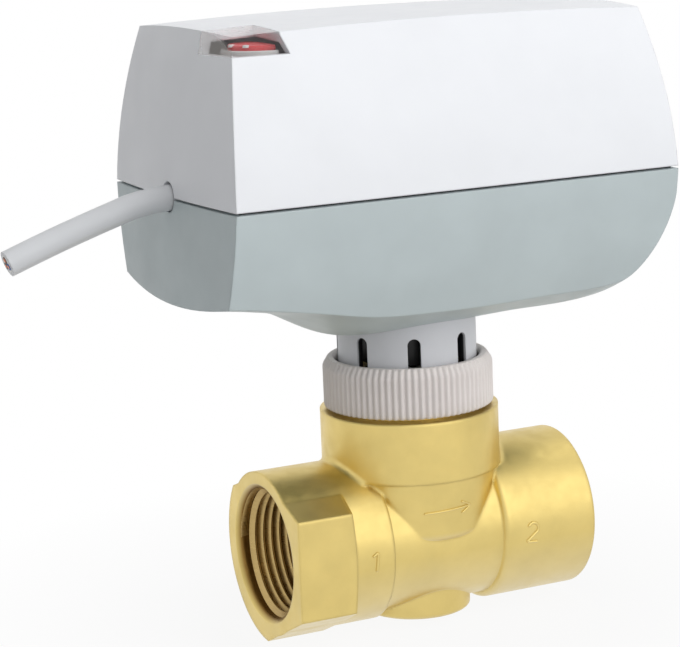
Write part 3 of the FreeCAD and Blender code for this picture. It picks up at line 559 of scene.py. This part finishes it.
# A white dot that stands for a glint on the dial's edge: a painted highlight
def add_glint_dot(name, degrees):
    a = math.radians(degrees)
    x, y = DIAL_X + GLINT_DOT_CIRCLE_R * math.cos(a), DIAL_Y + GLINT_DOT_CIRCLE_R * math.sin(a)
    turns = around(16)
    verts = turned(GLINT_DOT_PROFILE, turns, x, y, DIAL_FOOT)
    faces = strip_faces(len(GLINT_DOT_PROFILE), len(turns), True)
    piece(name, verts, faces, "white_plastic", "indicator")


add_half_drum("dial_wall", DIAL_WALL, "white_plastic")
add_half_drum("dial_red", DIAL_RED, "red_plastic")
add_glint_dot("dial_glint_1", 183)
add_glint_dot("dial_glint_2", 219)


def squash_spring():
    spring = NODES["valve_spring"]
    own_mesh(spring)


squash_spring()


# Raised marks on the casting, laid on its surface by rays cast from the front
MARK_HEIGHT = 0.3
LINE_SECTION = [(-1, -0.25), (-0.8, 0.55), (-0.4, 0.95), (0, 1), (0.4, 0.95), (0.8, 0.55), (1, -0.25)]
LINE_STEP = 0.1
LINE_REACH = 2         # steps each way that the line's direction is taken over
LEAST_TAPER = 0.02
RAY_START_Y = -40.0


def skin_of(name):
    source = NODES[name]
    verts = [source.matrix_world @ v.co for v in source.data.vertices]
    return BVHTree.FromPolygons(verts, [p.vertices[:] for p in source.data.polygons])


CASTING = skin_of("valve_body")


def even_points(corners):
    """Points along the straight runs between the corners, about a step apart."""
    points = []
    for (x0, z0), (x1, z1) in zip(corners, corners[1:]):
        count = max(1, round(math.hypot(x1 - x0, z1 - z0) / LINE_STEP))
        points += [(x0 + (x1 - x0) * i / count, z0 + (z1 - z0) * i / count) for i in range(count)]
    return points + [corners[-1]]


def add_stroke(name, middle, tilt, width, corners):
    """A raised line through the corners, which are millimetres from the mark's middle."""
    points = even_points(corners)
    length = LINE_STEP * (len(points) - 1)
    cos, sin = math.cos(math.radians(tilt)), math.sin(math.radians(tilt))
    verts = []
    for i, (x, z) in enumerate(points):
        (x0, z0), (x1, z1) = points[max(0, i - LINE_REACH)], points[min(len(points) - 1, i + LINE_REACH)]
        span = math.hypot(x1 - x0, z1 - z0) or 1.0
        near_end = min(i * LINE_STEP, length - i * LINE_STEP) / (width / 2)
        taper = math.sqrt(max(LEAST_TAPER, 1 - max(0.0, 1 - near_end) ** 2))
        for across, lift in LINE_SECTION:
            reach = across * width / 2 * taper
            u, v = x - (z1 - z0) / span * reach, z + (x1 - x0) / span * reach
            px, pz = middle[0] + u * cos - v * sin, middle[1] + u * sin + v * cos
            start = Vector((AXIS + px, RAY_START_Y, pz)) * MM
            hit, normal, _, _ = CASTING.ray_cast(start, Vector((0, 1, 0)))
            spot = hit + normal * (lift * MARK_HEIGHT * taper * MM)
            verts.append((spot.x / MM - AXIS, spot.y / MM, spot.z / MM))
    piece(name, verts, strip_faces(len(points), len(LINE_SECTION)), "mark_brass", sharp=180)


def arc(x, z, r, start, end):
    count = 24
    turns = [math.radians(start + (end - start) * i / count) for i in range(count + 1)]
    return [(x + r * math.cos(a), z + r * math.sin(a)) for a in turns]


# Each mark's middle and tilt, then the width of each line and its corners from that middle
ONE = ((-16.7, -0.4), -6)
TWO = ((18.8, -0.1), -6)
FLOW = ((-0.2, 7.7), 3)
MARKS = {
    "mark_1_stem": (*ONE, 0.7, [(0.25, 2.0), (0.25, -2.0)]),
    "mark_1_flag": (*ONE, 0.6, [(-0.95, 1.05), (0.25, 2.0)]),
    "mark_2_curve": (*TWO, 0.7, arc(0, 0.85, 1.15, 168, -28) + [(-1.3, -1.95)]),
    "mark_2_foot": (*TWO, 0.66, [(-1.3, -1.95), (1.35, -1.95)]),
    "flow_shaft": (*FLOW, 0.5, [(-5.4, 0.0), (5.0, 0.0)]),
    "flow_barb_top": (*FLOW, 0.5, [(2.7, 1.25), (5.0, 0.0)]),
    "flow_barb_low": (*FLOW, 0.5, [(2.7, -1.25), (5.0, 0.0)]),
}
for name, row in MARKS.items():
    add_stroke(name, *row)


# Studio, in metres: a pale floor that fades to white, a white world and three lamps
FLOOR_GAP = 0.0002
FLOOR_RINGS = (0.02, 0.1, 0.25, 0.5, 1.0, 2.0, 4.0, 8.0)
FLOOR_GREY = 0.58
FLOOR_WHITE = 0.91             # share of plain white near the object
FLOOR_FADE = (0.04, 0.12)      # from the stem's axis: where it grows, and where it is all white
AMBIENT = 0.4                  # the world's light on the object
LAMP_AIM = Vector((0.03, 0, 0.05))


def shown_rays(mat):
    """1 for the rays that show the white background: to the camera, off metal and through glass."""
    path = node(mat, "LightPath").outputs
    seen = calc(mat, "MAXIMUM", path["Is Camera Ray"], path["Is Transmission Ray"])
    return calc(mat, "MAXIMUM", seen, path["Is Glossy Ray"])


def floor_paper():
    """Pale paper that catches the shadow near the object and is plain white away from it."""
    mat = material("floor_paper", (FLOOR_GREY, FLOOR_GREY, FLOOR_GREY, 1), 0.95)
    white = node(mat, "Emission", {"Color": (1, 1, 1, 1), "Strength": 1.0}).outputs[0]
    share = spread(mat, from_stem(mat), FLOOR_WHITE, 1, *FLOOR_FADE)
    share = calc(mat, "MULTIPLY", share, shown_rays(mat))
    mix = node(mat, "MixShader", {0: share, 1: shader_of(mat).outputs[0], 2: white}).outputs[0]
    feed(mat, mat.node_tree.nodes["Material Output"].inputs["Surface"], mix)
    return mat


def add_floor():
    turns = around(96)
    mesh = bpy.data.meshes.new("floor")
    verts = turned([(r, 0) for r in FLOOR_RINGS], turns, foot=CAD_BOX[0].z - FLOOR_GAP)
    middle = tuple(range(len(turns)))
    mesh.from_pydata(verts, [], strip_faces(len(FLOOR_RINGS), len(turns), True) + [middle])
    mesh.materials.append(floor_paper())
    floor = bpy.data.objects.new("floor", mesh)
    SCENE.collection.objects.link(floor)


def add_world():
    world = bpy.data.worlds.new("studio")
    SCENE.world = world
    world.use_nodes = True
    background = world.node_tree.nodes["Background"]
    background.inputs["Color"].default_value = (1, 1, 1, 1)
    feed(world, background.inputs["Strength"], spread(world, shown_rays(world), AMBIENT, 1.0, 0, 1))


def add_lamp(name, place, size, power, mirrored):
    data = bpy.data.lights.new(name, "AREA")
    data.shape = "DISK"
    data.size = size
    data.energy = power
    lamp = bpy.data.objects.new(name, data)
    lamp.location = place
    lamp.visible_glossy = mirrored
    lamp.rotation_mode = "QUATERNION"
    lamp.rotation_quaternion = (LAMP_AIM - Vector(place)).to_track_quat("-Z", "Y")
    SCENE.collection.objects.link(lamp)


add_floor()
add_world()
add_lamp("key", (1.0, -1.35, 0.75), size=2.6, power=21, mirrored=False)
add_lamp("fill", (0.35, -1.6, 1.0), size=2.4, power=9.5, mirrored=True)
add_lamp("top", (0.35, 0.1, 1.5), size=1.0, power=3.5, mirrored=True)
SCENE.view_settings.view_transform = "Standard"

bpy.context.view_layer.update()
